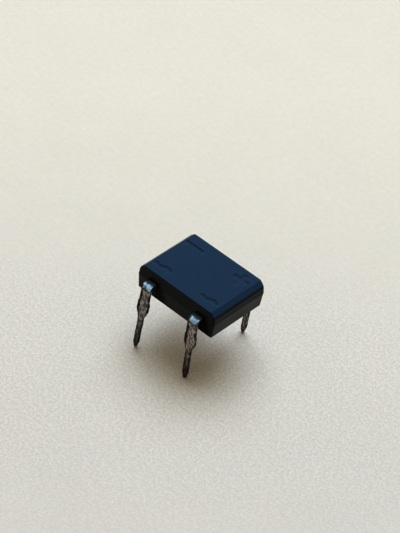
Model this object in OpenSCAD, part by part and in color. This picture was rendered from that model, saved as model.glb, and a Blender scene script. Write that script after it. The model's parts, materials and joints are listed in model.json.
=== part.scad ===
// Bridge rectifier in a four-lead dual-in-line epoxy package, once soldered and taken off its board.
// Millimetres. X runs along the body, Y across it, +Z up. The lead tips stand on z = 0.
// A lower frame holds the two AC pads, an upper frame the two output bars, and four mesa dice sit
// between them. All four leads leave the moulding at its parting plane.

/* [Body] */
// Length of the moulding at its parting plane
body_l = 8.3; // [7.8:0.05:10]
// Width of the moulding at its parting plane
body_w = 6.25; // [6.1:0.05:8]
// Height of the moulding
body_h = 2.5; // [2.3:0.05:4]
// Height of the parting plane above the underside
exit_h = 1.43; // [1.15:0.01:1.55]
// Draft of every side wall, in degrees
draft = 5; // [0:0.5:8]
// Width and height of the chamfer along the top of each short end
end_chamfer = 0.43; // [0.1:0.01:0.7]
// Radius of the upright corners where they are tightest
corner_r = 0.18; // [0.05:0.01:0.5]
// Diameter of the two ejector pin marks in the underside
pin_mark_d = 1.2; // [0.6:0.1:2]
// Depth of the ejector pin marks
pin_mark_depth = 0.05; // [0.02:0.01:0.1]
// Distance between the middles of the ejector pin marks
pin_mark_pitch = 4.4; // [3:0.1:5.4]

/* [Lead strip] */
// Distance between the two leads of a row
lead_pitch = 5.1; // [4.9:0.05:5.3]
// Thickness of the strip
lead_t = 0.25; // [0.2:0.01:0.3]
// Inner radius of the bend outside the body
bend_r = 0.2; // [0.1:0.01:0.4]
// Flat length between the body and the bend
stub_l = 0.22; // [0.1:0.01:0.6]
// Width of the lead at the body and round the bend
neck_w = 0.95; // [0.8:0.01:1.05]
// Width across the stubs that the dam bar leaves
nub_w = 1.1; // [1.08:0.01:1.4]
// Height of the upper end of the dam bar stubs below the underside
nub_drop = 0.3; // [0.1:0.01:0.6]
// Height of the seating shoulder below the underside
seat_drop = 1.1; // [0.8:0.01:1.5]
// Length of the taper from the shoulder to the tail
taper_l = 0.85; // [0.3:0.01:1.4]
// Width of the tail
tail_w = 0.46; // [0.4:0.01:0.6]
// Width of the rounded end of the tip
tip_w = 0.2; // [0.1:0.01:0.36]
// Length over which the tail narrows to its tip
tip_l = 0.6; // [0.3:0.05:1]
// Length of the lead below the seating shoulder
tail_l = 3.95; // [3:0.05:5]

/* [Bent leads] */
// Straight length between the bend and the kink where a lead has been bent out
kink_drop = 0.15; // [0.05:0.05:0.3]
// Outward splay of AC lead 1, in degrees
ac_1_splay_angle = 4.2; // [-2:0.1:8]
// Outward splay of AC lead 2, in degrees
ac_2_splay_angle = 0.2; // [-2:0.1:8]
// Outward splay of the negative lead, in degrees
negative_splay_angle = 3; // [-2:0.1:8]
// Outward splay of the positive lead, in degrees
positive_splay_angle = 3.2; // [-2:0.1:8]
// Lean of AC lead 1 along X, in degrees
ac_1_lean_angle = -0.3; // [-6:0.1:6]
// Lean of AC lead 2 along X, in degrees
ac_2_lean_angle = 0.2; // [-6:0.1:6]
// Lean of the negative lead along X, in degrees
negative_lean_angle = 0.8; // [-6:0.1:6]
// Lean of the positive lead along X, in degrees
positive_lean_angle = -4.6; // [-6:0.1:6]

/* [Dice and pads] */
// Width of a die, which is square
die_w = 1.3; // [1:0.05:1.4]
// Thickness of a die
die_t = 0.28; // [0.2:0.01:0.34]
// Width of the mesa at its contact face
mesa_w = 0.95; // [0.7:0.05:0.98]
// Height of the mesa
mesa_h = 0.11; // [0.05:0.01:0.15]
// Thickness of the solder on each face of a die
solder_t = 0.05; // [0.02:0.01:0.08]
// Width of the pad round a die
pad_margin = 0.15; // [0.05:0.01:0.2]
// Gap between the two rows of dice
row_gap = 0.4; // [0.25:0.05:0.5]
// Gap between the two columns of dice
column_gap = 1.2; // [0.9:0.05:1.3]
// Epoxy between strips of one frame that carry different voltages
frame_gap = 0.25; // [0.2:0.01:0.3]
// Width of the strap that leads past the end of the positive bar
strap_w = 0.75; // [0.6:0.05:0.9]
// Depth of the foot that joins an AC pad to its lead
foot_l = 0.8; // [0.5:0.05:1.2]
// Slope of the step between a pad and the parting plane, in degrees
joggle_slope = 45; // [35:1:60]

/* [Old solder] */
// Mean thickness of the crust
crust_t = 0.03; // [0.02:0.005:0.08]
// Height of the lumps in the crust, as a share of its thickness
crust_lump_share = 0.55; // [0:0.05:0.7]
// Bare height of blade between the bend and the crust
crust_gap = 0.35; // [0.15:0.05:1]

/* [Hidden] */
$fn = 48;
spare = 1;                                   // how far a trimming shape runs past what it trims

// Heights
body_z = tail_l + seat_drop;                 // underside of the moulding
parting_z = body_z + exit_h;
frame_rise = (die_t + 2 * solder_t + lead_t) / 2;   // pad's middle plane from the parting plane
lower_pad_z = parting_z - frame_rise - lead_t / 2;  // underside of the lower pads
upper_pad_z = parting_z + frame_rise - lead_t / 2;  // underside of the upper pads

// Plan of the two frames
pad_w = die_w + 2 * pad_margin;
column_x = (column_gap + pad_w) / 2;
row_y = (row_gap + pad_w) / 2;
pad_inner = column_gap / 2;
pad_outer = pad_inner + pad_w;
rows_edge = row_gap / 2 + pad_w;
lip_y = rows_edge + frame_gap;               // where a strip may pass the end of the bars
lip_l = 0.1;
root_y = lip_y + lip_l;                      // where the step to the parting plane starts
lead_x = lead_pitch / 2;
neck_inner = (lead_pitch - neck_w) / 2;
neck_outer = (lead_pitch + neck_w) / 2;
strap_outer = pad_outer + frame_gap + strap_w;

// Form of a lead outside the body
bend_y = body_w / 2 + stub_l;                // axis of the bend
bend_z = parting_z - bend_r - lead_t / 2;
blade_y = bend_y + bend_r + lead_t / 2;      // middle plane of the upright blade
kink_z = bend_z - kink_drop;
nub_z = body_z - nub_drop;
nub_ramp = (nub_w - neck_w) / 2;             // the stubs start with a 45 degree ramp
seat_z = tail_l;
tail_z = seat_z - taper_l;
tip_r = tip_w / 2;

bend_facets = 96;                            // to a full turn, as drawn

// Crust: rings along the blade, and points round each ring
crust_rings = 34;
crust_sides = 20;
crust_end_t = 0.018;                         // thickness left at both ends of the crust
crust_taper_share = 0.11;                    // share of the crust over which each end thins out
crust_squareness_factor = 0.2;               // 1 would be an ellipse, 0 a rectangle
lump_wave = 1150;                            // degrees that the coarse lumps turn along the crust
lump_twist = 400;                            // degrees that they drift round the blade
coarse_lump_share = 0.6;                     // the finer lumps make up the rest

// Colours
epoxy = [0.07, 0.1, 0.15];
tin = [0.74, 0.76, 0.78];
silicon = [0.42, 0.43, 0.46];
solder = [0.62, 0.63, 0.64];
burnt = [0.24, 0.2, 0.18];

// ---- Moulding -------------------------------------------------------------------------------

// One half of the moulding, from its parting plane at z = 0 to its flat face at z = h
module drafted_half(h, parting_r) {
    slope = tan(draft);
    end_r = parting_r - h * slope;
    // Walls of the short ends
    rotate([90, 0, 0])
        translate([0, 0, -body_w / 2 + parting_r])
            linear_extrude(body_w - 2 * parting_r)
                trapezoid(body_l / 2, h, slope);
    // Walls of the long sides
    rotate([90, 0, 90])
        translate([0, 0, -body_l / 2 + parting_r])
            linear_extrude(body_l - 2 * parting_r)
                trapezoid(body_w / 2, h, slope);
    // Upright corners, which taper with the walls
    for (sx = [-1, 1], sy = [-1, 1])
        translate([sx * (body_l / 2 - parting_r), sy * (body_w / 2 - parting_r), 0])
            cylinder(h = h, r1 = parting_r, r2 = end_r);
}

module trapezoid(half_w, h, slope) {
    polygon([[-half_w, 0], [half_w, 0], [half_w - h * slope, h], [-half_w + h * slope, h]]);
}

// Outline of the moulding seen from its long side, with the two end chamfers
module chamfered_side() {
    reach = body_l / 2 + spare;
    // The chamfer meets the end wall at its foot, and its line is carried out past the wall
    foot_x = body_l / 2 - (body_h - exit_h - end_chamfer) * tan(draft);
    low_z = body_h - end_chamfer - (reach - foot_x);
    polygon([
        [-reach, -spare], [reach, -spare],
        [reach, low_z], [foot_x - end_chamfer, body_h],
        [-foot_x + end_chamfer, body_h], [-reach, low_z]
    ]);
}

module moulding_outside() {
    parting_r = corner_r + max(exit_h, body_h - exit_h) * tan(draft);
    intersection() {
        translate([0, 0, parting_z]) {
            drafted_half(body_h - exit_h, parting_r);
            mirror([0, 0, 1]) drafted_half(exit_h, parting_r);
        }
        translate([0, body_w / 2 + spare, body_z])
            rotate([90, 0, 0])
                linear_extrude(body_w + 2 * spare)
                    chamfered_side();
    }
}

// Marks that the ejector pins leave in the underside
module pin_marks() {
    for (sx = [-1, 1])
        translate([sx * pin_mark_pitch / 2, 0, body_z - spare])
            cylinder(d = pin_mark_d, h = spare + pin_mark_depth);
}

module moulded_body() {
    color(epoxy)
        difference() {
            moulding_outside();
            pin_marks();
            lead_strips();
            for (n = [1:4]) {
                die(n);
                lower_solder(n);
                upper_solder(n);
            }
        }
}

// ---- Leads ----------------------------------------------------------------------------------

// Side profile from the pad's lip out to the bend: outwards, and up from the parting plane.
// rise is the pad's middle plane above the parting plane.
module root_profile(rise) {
    run = abs(rise) / tan(joggle_slope);
    mitre = lead_t / 2 * tan(joggle_slope / 2) * sign(rise);
    step_end = root_y + run;
    polygon([
        [lip_y, rise - lead_t / 2],
        [root_y - mitre, rise - lead_t / 2],
        [step_end - mitre, -lead_t / 2],
        [bend_y, -lead_t / 2],
        [bend_y, lead_t / 2],
        [step_end + mitre, lead_t / 2],
        [root_y + mitre, rise + lead_t / 2],
        [lip_y, rise + lead_t / 2]
    ]);
}

// Side profile of the blade, y outwards and z up: upright below the bend, then bent out by splay.
// It runs on below the floor, where the outline trims it.
module blade_profile(splay) {
    mitre = lead_t / 2 * tan(splay / 2);
    half = lead_t / 2 / cos(splay);
    low_y = blade_at(-spare, splay);
    polygon([
        [blade_y - lead_t / 2, bend_z], [blade_y + lead_t / 2, bend_z],
        [blade_y + lead_t / 2, kink_z + mitre],
        [low_y + half, -spare], [low_y - half, -spare],
        [blade_y - lead_t / 2, kink_z - mitre]
    ]);
}

// Distance of the blade's middle plane from the middle of the body, at height z
function blade_at(z, splay) = blade_y + max(0, kink_z - z) * tan(splay);

// Sideways shift of the blade at height z
function lean_at(z, lean) = (bend_z - z) * tan(lean);

// Outline of the blade seen along the row's outward direction: x across, z up
module blade_outline(lean) {
    tip = [lean_at(tip_r, lean), tip_r];
    side = [
        [neck_w / 2, bend_z], [neck_w / 2, nub_z + nub_ramp], [nub_w / 2, nub_z],
        [nub_w / 2, seat_z], [tail_w / 2, tail_z], [tail_w / 2, tip_l]
    ];
    above = bend_z + spare;
    right = [for (p = side) [lean_at(p[1], lean) + p[0], p[1]]];
    left = [for (i = [len(side) - 1:-1:0]) [lean_at(side[i][1], lean) - side[i][0], side[i][1]]];
    ends = [touch(right[len(right) - 1], tip, 1), touch(left[0], tip, -1)];
    polygon(concat([[neck_w / 2, above]], right, ends, left, [[-neck_w / 2, above]]));
    translate(tip) circle(r = tip_r);
}

// Where the line from p touches the tip's circle, which is centred on c. side is +1 on its right.
function touch(p, c, side) =
    let (v = p - c, turn = atan2(v[1], v[0]) - side * acos(tip_r / norm(v)))
    c + tip_r * [cos(turn), sin(turn)];

// Bend and blade of a lead, pointing along +Y, centred on x = 0
module bent_blade(splay, lean) {
    // How far the two extrusions run, well past the blade on either side
    depth = 4 * neck_w;
    reach = 2 * blade_y;
    translate([-neck_w / 2, bend_y, bend_z])
        rotate([90, 0, 90])
            rotate_extrude(angle = 90, $fn = bend_facets)
                translate([bend_r, 0]) square([lead_t, neck_w]);
    intersection() {
        translate([-depth / 2, 0, 0])
            rotate([90, 0, 90])
                linear_extrude(depth)
                    blade_profile(splay);
        translate([0, reach, 0])
            rotate([90, 0, 0])
                linear_extrude(reach)
                    blade_outline(lean);
    }
}

// A lead from its pad's lip to its tip. side is +1 on the far row and -1 on the near row.
module strip(x, side, rise, splay, lean) {
    on_row(x, side) {
        translate([-neck_w / 2, 0, parting_z])
            rotate([90, 0, 90])
                linear_extrude(neck_w)
                    root_profile(rise);
        bent_blade(splay, lean);
    }
}

// Places what is drawn for the far row at x on the far row (side +1) or the near row (side -1)
module on_row(x, side) {
    translate([x, 0, 0])
        if (side > 0) children();
        else mirror([0, 1, 0]) children();
}

// Pad under one column of dice, with the foot that carries its lead
module ac_pad() {
    translate([pad_inner, -rows_edge]) square([pad_w, 2 * rows_edge]);
    translate([pad_inner, -root_y]) square([neck_outer - pad_inner, foot_l]);
}

// Bar over the far row of dice
module positive_pad() {
    translate([-pad_outer, rows_edge - pad_w]) square([pad_outer + neck_outer, pad_w]);
    translate([neck_inner, rows_edge - pad_w]) square([neck_w, root_y - rows_edge + pad_w]);
}

// Bar over the near row of dice, with the strap that passes the end of the positive bar
module negative_pad() {
    translate([-strap_outer, -rows_edge]) square([strap_outer + pad_outer, pad_w]);
    translate([-strap_outer, -rows_edge]) square([strap_w, rows_edge + root_y]);
    translate([-strap_outer, lip_y]) square([strap_outer - neck_inner, lip_l]);
}

module ac_strip(side, splay, lean) {
    translate([0, 0, lower_pad_z])
        linear_extrude(lead_t)
            if (side > 0) ac_pad();
            else mirror([1, 0]) ac_pad();
    strip(side * lead_x, -1, -frame_rise, splay, lean);
}

module negative_strip() {
    translate([0, 0, upper_pad_z]) linear_extrude(lead_t) negative_pad();
    strip(-lead_x, 1, frame_rise, negative_splay_angle, negative_lean_angle);
}

module positive_strip() {
    translate([0, 0, upper_pad_z]) linear_extrude(lead_t) positive_pad();
    strip(lead_x, 1, frame_rise, positive_splay_angle, positive_lean_angle);
}

module lead_strips() {
    ac_strip(-1, ac_1_splay_angle, ac_1_lean_angle);
    ac_strip(1, ac_2_splay_angle, ac_2_lean_angle);
    negative_strip();
    positive_strip();
}

module ac_lead_1() { color(tin) ac_strip(-1, ac_1_splay_angle, ac_1_lean_angle); }
module ac_lead_2() { color(tin) ac_strip(1, ac_2_splay_angle, ac_2_lean_angle); }
module negative_lead() { color(tin) negative_strip(); }
module positive_lead() { color(tin) positive_strip(); }

// ---- Dice and their solder ------------------------------------------------------------------

// Dice 1 and 2 stand under the positive bar with the mesa down on the AC pads.
// Dice 3 and 4 stand under the negative bar with the mesa up.
function die_x(n) = (n % 2 == 1 ? -1 : 1) * column_x;
function die_y(n) = (n <= 2 ? 1 : -1) * row_y;
function mesa_up(n) = n > 2;

// A die about the middle of its thickness, with its mesa up
module mesa_die() {
    half = die_w / 2;
    waist = die_t - mesa_h;
    profile = [[-half, 0], [half, 0], [half, waist], [mesa_w / 2, die_t], [-mesa_w / 2, die_t],
               [-half, waist]];
    translate([0, 0, -die_t / 2])
        intersection() {
            rotate([90, 0, 0]) translate([0, 0, -half]) linear_extrude(die_w) polygon(profile);
            rotate([90, 0, 90]) translate([0, 0, -half]) linear_extrude(die_w) polygon(profile);
        }
}

module die(n) {
    translate([die_x(n), die_y(n), parting_z])
        rotate([mesa_up(n) ? 0 : 180, 0, 0])
            mesa_die();
}

// Solder on the die's face that looks along side (+1 up, -1 down)
module die_solder(n, side) {
    on_mesa = (side > 0) == mesa_up(n);
    width = on_mesa ? mesa_w : die_w;
    translate([die_x(n) - width / 2, die_y(n) - width / 2,
               parting_z + (side > 0 ? die_t / 2 : -die_t / 2 - solder_t)])
        cube([width, width, solder_t]);
}

module lower_solder(n) { die_solder(n, -1); }
module upper_solder(n) { die_solder(n, 1); }

// ---- Old solder on the blades ---------------------------------------------------------------

// Half width of the blade at height z
function blade_half_w(z) =
    z > nub_z + nub_ramp ? neck_w / 2 :
    z > nub_z ? neck_w / 2 + (nub_z + nub_ramp - z) :
    z > seat_z ? nub_w / 2 :
    z > tail_z ? nub_w / 2 + (tail_w - nub_w) / 2 * (seat_z - z) / taper_l :
    z > tip_l ? tail_w / 2 :
    tip_r + (tail_w / 2 - tip_r) * (z - tip_r) / (tip_l - tip_r);

// Thickness of the crust at share s of its length and angle a round it
function crust_at(s, a, seed) =
    let (ends = min(1, min(s, 1 - s) / crust_taper_share))
    let (turn = s * lump_wave + seed)
    let (coarse = sin(turn) * cos(2 * a + s * lump_twist + seed))
    let (fine = sin(2 * turn) * cos(3 * a - seed))
    let (lump = coarse_lump_share * coarse + (1 - coarse_lump_share) * fine)
    crust_end_t + (crust_t - crust_end_t) * ends * (1 + crust_lump_share * lump);

function power(c, e) = sign(c) * pow(abs(c), e);

// One ring of the crust's outside, at height z and share s of the crust's length
function crust_ring(z, s, splay, lean, seed) = [
    for (k = [0:crust_sides - 1])
        let (a = 360 * k / crust_sides, t = crust_at(s, a, seed))
        [lean_at(z, lean) + power(cos(a), crust_squareness_factor) * (blade_half_w(z) + t),
         blade_at(z, splay) + power(sin(a), crust_squareness_factor) * (lead_t / 2 / cos(splay) + t),
         z]
];

// A lumpy sleeve round one blade, less the blade itself
module crust(x, side, splay, lean, seed) {
    top = bend_z - crust_gap;
    low = tip_r;
    points = [for (i = [0:crust_rings])
        let (s = i / crust_rings)
        each crust_ring(top + (low - top) * s, s, splay, lean, seed)];
    walls = [for (i = [0:crust_rings - 1], k = [0:crust_sides - 1])
        let (a = i * crust_sides + k, b = i * crust_sides + (k + 1) % crust_sides)
        [a, b, b + crust_sides, a + crust_sides]];
    first_cap = [for (k = [crust_sides - 1:-1:0]) k];
    last_cap = [for (k = [0:crust_sides - 1]) crust_rings * crust_sides + k];
    on_row(x, side)
        difference() {
            polyhedron(points, concat(walls, [first_cap, last_cap]));
            bent_blade(splay, lean);
        }
}

module old_solder_ac_1() {
    color(burnt) crust(-lead_x, -1, ac_1_splay_angle, ac_1_lean_angle, 20);
}

module old_solder_ac_2() {
    color(burnt) crust(lead_x, -1, ac_2_splay_angle, ac_2_lean_angle, 95);
}

module old_solder_negative() {
    color(burnt) crust(-lead_x, 1, negative_splay_angle, negative_lean_angle, 200);
}

module old_solder_positive() {
    color(burnt) crust(lead_x, 1, positive_splay_angle, positive_lean_angle, 310);
}

// ---- Assembly -------------------------------------------------------------------------------

moulded_body();
ac_lead_1();
ac_lead_2();
negative_lead();
positive_lead();
for (n = [1:4]) {
    color(silicon) die(n);
    color(solder) lower_solder(n);
    color(solder) upper_solder(n);
}
old_solder_ac_1();
old_solder_ac_2();
old_solder_negative();
old_solder_positive();
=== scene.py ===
"""Finish of a four-lead bridge rectifier that has been taken off its board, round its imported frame.

Meshes are built in millimetres in the frame's own axes, and brought to the frame's metres last.
"""
import json
import math

import bmesh
import bpy
import numpy as np
from bpy.props import FloatProperty, FloatVectorProperty, IntProperty, PointerProperty
from bpy.types import Operator, Panel, PropertyGroup
from mathutils import Matrix, Vector

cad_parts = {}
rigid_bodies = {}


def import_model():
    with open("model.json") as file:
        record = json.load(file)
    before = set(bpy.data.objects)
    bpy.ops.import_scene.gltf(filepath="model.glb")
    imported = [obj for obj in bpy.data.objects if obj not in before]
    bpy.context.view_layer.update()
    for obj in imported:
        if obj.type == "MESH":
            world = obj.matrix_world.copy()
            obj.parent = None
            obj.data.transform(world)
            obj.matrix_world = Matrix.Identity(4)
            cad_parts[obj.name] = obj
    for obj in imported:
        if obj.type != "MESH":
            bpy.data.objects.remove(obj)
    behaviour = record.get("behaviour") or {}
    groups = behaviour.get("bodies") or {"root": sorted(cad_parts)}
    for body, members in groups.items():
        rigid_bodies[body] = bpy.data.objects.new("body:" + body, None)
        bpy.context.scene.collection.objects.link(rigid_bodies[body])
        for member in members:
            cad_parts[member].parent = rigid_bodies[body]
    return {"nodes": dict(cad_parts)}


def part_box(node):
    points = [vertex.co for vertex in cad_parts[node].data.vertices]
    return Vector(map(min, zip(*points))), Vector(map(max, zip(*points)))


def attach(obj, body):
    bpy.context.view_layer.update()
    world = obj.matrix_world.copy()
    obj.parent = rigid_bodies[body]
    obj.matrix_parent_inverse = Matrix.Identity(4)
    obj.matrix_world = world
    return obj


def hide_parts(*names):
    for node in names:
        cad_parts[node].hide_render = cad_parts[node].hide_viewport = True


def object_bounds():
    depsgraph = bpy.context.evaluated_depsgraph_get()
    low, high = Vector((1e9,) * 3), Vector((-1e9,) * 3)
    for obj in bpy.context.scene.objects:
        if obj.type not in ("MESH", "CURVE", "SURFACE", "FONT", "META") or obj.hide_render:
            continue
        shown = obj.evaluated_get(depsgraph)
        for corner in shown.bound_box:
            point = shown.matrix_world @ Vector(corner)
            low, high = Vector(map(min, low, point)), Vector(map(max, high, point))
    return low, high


bl_info = {
    "name": "Bridge Rectifier Finish",
    "version": (1, 0, 0),
    "blender": (4, 5, 0),
    "location": "View3D > Sidebar > Rectifier",
    "description": "Dresses a four-lead bridge rectifier: moulding, tinned leads and old solder",
    "category": "Object",
}

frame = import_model()
cad_low, cad_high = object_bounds()

MM = 0.001  # metres in a millimetre
PER_MM = 1 / MM
WELD = 1e-4  # vertices closer than this many millimetres are one
BODY = "moulded_body"
# lead -> its crust, how much bare grey solder shows through it, and the height, in
# millimetres, below which it is scorched black
LEADS = {
    "ac_lead_1": ("old_solder_ac_1", 0.45, 4.3),
    "ac_lead_2": ("old_solder_ac_2", 1.0, 4.7),
    "negative_lead": ("old_solder_negative", 0.6, 3.0),
    "positive_lead": ("old_solder_positive", 0.55, 1.3),
}
DICE = [f"diode_{n}" for n in range(1, 5)]
DIE_SOLDER = [f"{die}_{side}_solder" for die in DICE for side in ("lower", "upper")]


# ---- Sizes and colours a user may change ---------------------------------------------------


def length(name, description, default_mm, highest_mm=1000.0):
    """A length property whose default and limit are given in millimetres."""
    return FloatProperty(name=name, description=description, default=default_mm * MM, min=0.0,
                         max=highest_mm * MM, precision=6, unit="LENGTH")


def colour(name, description, default):
    return FloatVectorProperty(name=name, description=description, default=default, size=3,
                               min=0.0, max=1.0, subtype="COLOR")


def angle(name, description, degrees):
    return FloatProperty(name=name, description=description, default=math.radians(degrees),
                         subtype="ANGLE")


class MouldingProps(PropertyGroup):
    draft: angle("Draft", "Slope of every side wall away from the parting line", 5)
    end_chamfer: length("End chamfer", "Chamfer along the top of each short end", 0.43, 1)
    corner_radius: length("Corner radius", "Radius of the upright corners at the underside", 0.13, 1)
    edge_radius: length("Edge rounding", "How far the edges are rounded back", 0.075, 0.3)
    flash: length("Parting flash", "How far the parting line stands proud", 0.012, 0.05)
    sign_depth: length("Sign depth", "Depth of the polarity signs", 0.055, 0.2)
    sign_stroke: length("Sign stroke", "Width of the strokes at their floor", 0.24, 0.8)
    sign_length: length("Sign length", "Length of a polarity sign", 1.42, 2.5)
    sign_inset: length("Sign inset", "From the plus and minus to their long side", 1.36, 3)
    tilde_inset: length("Tilde inset", "From the tildes to their long side", 1.12, 3)
    sign_pitch: length("Sign pitch", "Between the signs of one row", 5.1, 6)
    pin_mark: length("Pin mark", "Diameter of the ejector pin marks underneath", 1.2, 2)
    pin_mark_depth: length("Pin mark depth", "Depth of the ejector pin marks", 0.05, 0.1)
    pin_mark_pitch: length("Pin mark pitch", "Between the two ejector pin marks", 4.4, 5.4)
    epoxy: colour("Epoxy", "Colour of the moulding", (0.0026, 0.0032, 0.0040))
    dust: colour("Dust", "Colour of the dust that lies on the moulding", (0.20, 0.19, 0.17))


class LeadProps(PropertyGroup):
    strip: length("Strip thickness", "Thickness of the leads", 0.25, 0.5)
    stub: length("Stub", "Flat length between the moulding and the bend", 0.22, 1)
    bend_radius: length("Bend radius", "Inner radius of the bend", 0.20, 1)
    neck: length("Neck width", "Width of the strip where it bends", 0.95, 2)
    edge_radius: length("Edge rounding", "Rounding of the stamped edges", 0.028, 0.1)
    tin: colour("Tin", "Colour of the tin plating", (0.44, 0.54, 0.60))
    # Colour of the burnt flux below the bend; the same colour also makes the tin darker on the stub
    # next to the moulding and along one edge of the neck
    darkening: colour("Darkening", "Colour of the burnt flux that runs up the tin", (0.016, 0.013, 0.012))


class OldSolderProps(PropertyGroup):
    coat: length("Coat", "Mean thickness of the crust", 0.014, 0.1)
    thinnest: length("Thinnest", "Least thickness of the crust, as at its ends", 0.006, 0.1)
    lower_taper: length("Lower taper", "Over which the crust thins out towards the tip", 0.4, 2)
    upper_taper: length("Upper taper", "Over which the crust thins out towards the bend", 0.6, 2)
    lump_height: length("Lump height", "Height of the broad lumps", 0.035, 0.1)
    lump_size: length("Lump size", "Size of the broad lumps", 0.45, 1)
    bead_size: length("Bead size", "Radius of the largest solder beads", 0.06, 0.2)
    bead_density: FloatProperty(name="Bead density", default=2.0, min=0.0,
                                description="Solder beads on a square millimetre of crust")
    voxel: length("Voxel", "Size of the cells that fuse the crust into one skin", 0.02, 0.1)
    seed: IntProperty(name="Seed", description="Seed of the lumps and beads", default=7)
    char: colour("Char", "Colour of burnt flux", (0.009, 0.0038, 0.0032))
    flux: colour("Flux", "Colour of the thinner, paler flux", (0.50, 0.48, 0.49))
    solder: colour("Solder", "Colour of the dull solder that shows through", (0.66, 0.63, 0.53))


class StageProps(PropertyGroup):
    azimuth: angle("Azimuth", "Where the camera stands round the rectifier", 36.87)
    elevation: angle("Elevation", "How far the camera looks down", 41.41)
    roll: angle("Roll", "Turn of the camera about its own axis", 8.84)
    distance: length("Distance", "From the camera to the point it looks at", 178.3)
    lens: FloatProperty(name="Lens", description="Focal length, in millimetres", default=148.6,
                        subtype="DISTANCE_CAMERA")
    aim: FloatVectorProperty(name="Aim", size=3, subtype="TRANSLATION", unit="LENGTH", precision=6,
                             description="Point looked at, from the middle of the top face",
                             default=(-1.15 * MM, 1.04 * MM, -0.74 * MM))
    paper: colour("Paper", "Colour of the floor", (0.86, 0.85, 0.79))
    key: FloatProperty(name="Key", description="Radiance of the light overhead", default=2.6)
    dome: FloatProperty(name="Dome", description="Light of the room all round", default=0.245)
    sky: FloatProperty(name="Sky", description="Strength of the sky that reflections show",
                       default=1.0)


# ---- Helpers -------------------------------------------------------------------------------


def mm(value):
    """Metres to the millimetres that meshes are built in."""
    return value * PER_MM


def box_mm(node):
    """A node's lowest and highest corners, in millimetres."""
    low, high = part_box(node)
    return low * PER_MM, high * PER_MM


def new_object(name, mesh):
    made = bpy.data.objects.new(name, mesh)
    bpy.context.scene.collection.objects.link(made)
    return made


def mesh_from(bm, name):
    mesh = bpy.data.meshes.new(name)
    bm.to_mesh(mesh)
    bm.free()
    return mesh


def node_mesh(node):
    """A copy of a frame node's mesh in millimetres, with its loose triangles joined up."""
    bm = bmesh.new()
    bm.from_mesh(frame["nodes"][node].data)
    bmesh.ops.scale(bm, vec=(PER_MM,) * 3, verts=bm.verts)
    bmesh.ops.remove_doubles(bm, verts=bm.verts, dist=WELD)
    flat = math.radians(0.5)
    bmesh.ops.dissolve_limit(bm, angle_limit=flat, verts=bm.verts, edges=bm.edges)
    return mesh_from(bm, f"{node}_copy")


def apply_modifiers(piece):
    """Replaces a piece's mesh by what its modifiers make of it, and removes them."""
    bpy.context.view_layer.update()
    graph = bpy.context.evaluated_depsgraph_get()
    made = bpy.data.meshes.new_from_object(piece.evaluated_get(graph), depsgraph=graph)
    old = piece.data
    piece.modifiers.clear()
    piece.data = made
    bpy.data.meshes.remove(old)


def smooth_by_angle(piece, degrees):
    """Smooth shading with sharp edges kept, weighted so that flat faces stay flat."""
    piece.data.shade_smooth()
    piece.data.set_sharp_from_angle(angle=math.radians(degrees))
    weighted = piece.modifiers.new("Weighted normals", "WEIGHTED_NORMAL")
    weighted.keep_sharp = True
    weighted.weight = 100
    apply_modifiers(piece)


def settle(piece, material, slot, *nodes):
    """Brings a finished piece to metres, paints it, and hands it to the frame."""
    piece.data.transform(Matrix.Scale(MM, 4))
    piece.data.materials.clear()
    piece.data.materials.append(material)
    piece.data.update()
    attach(piece, "root")
    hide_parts(*nodes)


# ---- Shader building -----------------------------------------------------------------------


class Nodes:
    """Adds nodes to one tree and joins them, so that a material reads from top to bottom."""

    def __init__(self, tree):
        self.tree = tree

    def add(self, kind, values=None, **settings):
        made = self.tree.nodes.new(kind)
        for key, value in settings.items():
            setattr(made, key, value)
        for key, value in (values or {}).items():
            self.put(made.inputs[key], value)
        return made

    def put(self, socket, value):
        if isinstance(value, bpy.types.NodeSocket):
            self.tree.links.new(value, socket)
        else:
            socket.default_value = value

    def math(self, operation, a, b=0.0, clamp=False):
        return self.add("ShaderNodeMath", {0: a, 1: b}, operation=operation,
                        use_clamp=clamp).outputs[0]

    def ramp(self, value, low, high, to_low=0.0, to_high=1.0, smooth=True):
        """value mapped from low..high to to_low..to_high, held at both ends."""
        kind = "SMOOTHSTEP" if smooth else "LINEAR"
        made = self.add("ShaderNodeMapRange", interpolation_type=kind, clamp=True)
        for name, number in zip(("Value", "From Min", "From Max", "To Min", "To Max"),
                                (value, low, high, to_low, to_high)):
            self.put(made.inputs[name], number)
        return made.outputs["Result"]

    def noise(self, vector, scale, detail=2.0, roughness=0.5):
        return self.add("ShaderNodeTexNoise", {"Vector": vector, "Scale": scale, "Detail": detail,
                                               "Roughness": roughness}).outputs["Fac"]

    def mix(self, factor, a, b):
        """Colour a where factor is 0, and b where it is 1."""
        made = self.add("ShaderNodeMix", data_type="RGBA")
        for socket, value in zip((made.inputs[0], made.inputs[6], made.inputs[7]), (factor, a, b)):
            self.put(socket, value)
        return made.outputs[2]

    def group(self, tree, values):
        made = self.add("ShaderNodeGroup", node_tree=tree)
        for key, value in values.items():
            self.put(made.inputs[key], value)
        return made.outputs


def rgba(rgb):
    return (*rgb, 1.0)


def group_tree(name, inputs, outputs):
    """A new shader group with its sockets, and the node makers for its inside."""
    tree = bpy.data.node_groups.new(name, "ShaderNodeTree")
    for label, kind, default in inputs:
        socket = tree.interface.new_socket(label, in_out="INPUT", socket_type=kind)
        if default is not None:
            socket.default_value = default
    for label, kind in outputs:
        tree.interface.new_socket(label, in_out="OUTPUT", socket_type=kind)
    nodes = Nodes(tree)
    return tree, nodes, nodes.add("NodeGroupInput").outputs, nodes.add("NodeGroupOutput").inputs


def once(make):
    """Makes a shader group or material the first time, and hands back the same one after that."""
    found = {}

    def get(*args):
        key = (make.__name__, *[tuple(a) if hasattr(a, "__len__") else a for a in args])
        if key not in found:
            found[key] = make(*args)
        return found[key]

    return get


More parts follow.
